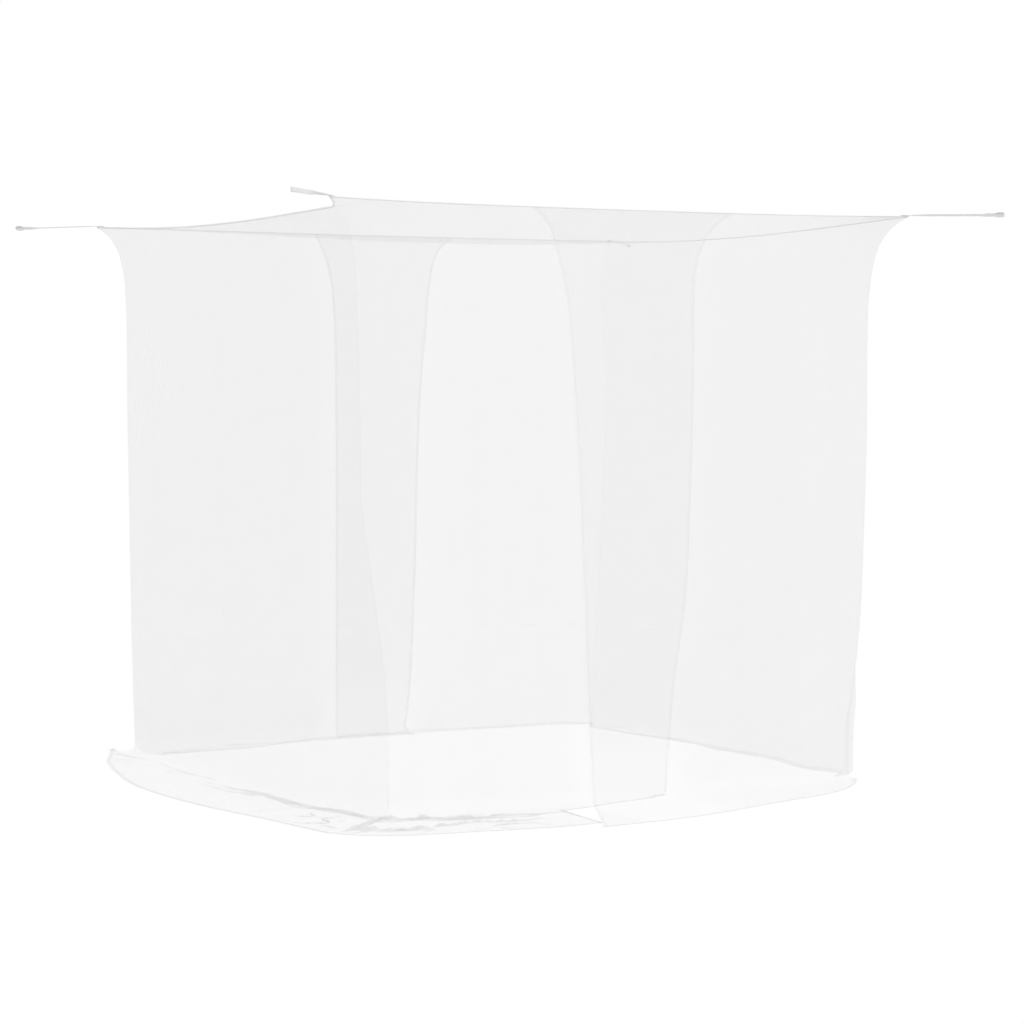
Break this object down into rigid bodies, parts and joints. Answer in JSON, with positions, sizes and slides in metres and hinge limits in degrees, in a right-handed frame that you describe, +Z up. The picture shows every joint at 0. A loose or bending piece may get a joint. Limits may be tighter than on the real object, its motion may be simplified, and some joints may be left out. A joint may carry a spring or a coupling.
{
  "type": "hanging box mosquito net",
  "caption": "Box-shaped mosquito net of white tulle, hung by tapes from its roof corners, with overlapping curtains as openings in both long walls and spare cloth on the floor.",
  "frame": {"origin": "centre of the four hanging eyes, in their plane; the floor is 1.94 m below", "axes": "+X along the two long walls with the curtain openings, +Z up, -Y towards the front wall; the picture looks at the front left corner, at -X -Y"},
  "size_m": [2.6666, 2.6401, 1.9481],
  "materials": {
    "netting": "white polyester tulle, open hexagonal mesh",
    "hem": "white polyester binding and turned hems, matt",
    "webbing": "white woven cotton tape, matt"
  },
  "bodies": {
    "net": {"roof_panel": "netting", "left_end_wall": "netting", "left_end_hem": "hem", "right_end_wall": "netting", "right_end_hem": "hem", "front_outer_panel": "netting", "front_outer_hem": "hem", "front_outer_edge_hem_top": "hem", "front_inner_panel": "netting", "front_inner_hem": "hem", "front_inner_edge_hem_top": "hem", "back_outer_panel": "netting", "back_outer_hem": "hem", "back_outer_edge_hem_top": "hem", "back_inner_panel": "netting", "back_inner_hem": "hem", "back_inner_edge_hem_top": "hem", "front_roof_seam": "hem", "right_roof_seam": "hem", "back_roof_seam": "hem", "left_roof_seam": "hem", "front_left_corner_seam": "hem", "front_right_corner_seam": "hem", "back_right_corner_seam": "hem", "back_left_corner_seam": "hem", "front_left_hanging_tape": "webbing", "front_right_hanging_tape": "webbing", "back_right_hanging_tape": "webbing", "back_left_hanging_tape": "webbing"},
    "front_outer_curtain": {"front_outer_flap": "netting", "front_outer_flap_hem": "hem", "front_outer_edge_hem": "hem"},
    "front_inner_curtain": {"front_inner_flap": "netting", "front_inner_flap_hem": "hem", "front_inner_edge_hem": "hem"},
    "back_outer_curtain": {"back_outer_flap": "netting", "back_outer_flap_hem": "hem", "back_outer_edge_hem": "hem"},
    "back_inner_curtain": {"back_inner_flap": "netting", "back_inner_flap_hem": "hem", "back_inner_edge_hem": "hem"}
  },
  "joints": [
    {"name": "front_outer_fold", "type": "hinge", "parent": "net", "child": "front_outer_curtain", "pos_m": [0.35, -0.98, -1.94], "axis": [-0.3034, 0.0217, 0.9526], "range_deg": [0, 120]},
    {"name": "front_inner_fold", "type": "hinge", "parent": "net", "child": "front_inner_curtain", "pos_m": [-0.365, -0.97, -1.94], "axis": [0.3374, 0.0174, 0.9412], "range_deg": [0, 120]},
    {"name": "back_outer_fold", "type": "hinge", "parent": "net", "child": "back_outer_curtain", "pos_m": [-0.36, 0.98, -1.94], "axis": [0.3153, -0.0216, 0.9487], "range_deg": [0, 120]},
    {"name": "back_inner_fold", "type": "hinge", "parent": "net", "child": "back_inner_curtain", "pos_m": [0.36, 0.97, -1.94], "axis": [-0.2815, -0.0178, 0.9594], "range_deg": [0, 120]}
  ]
}
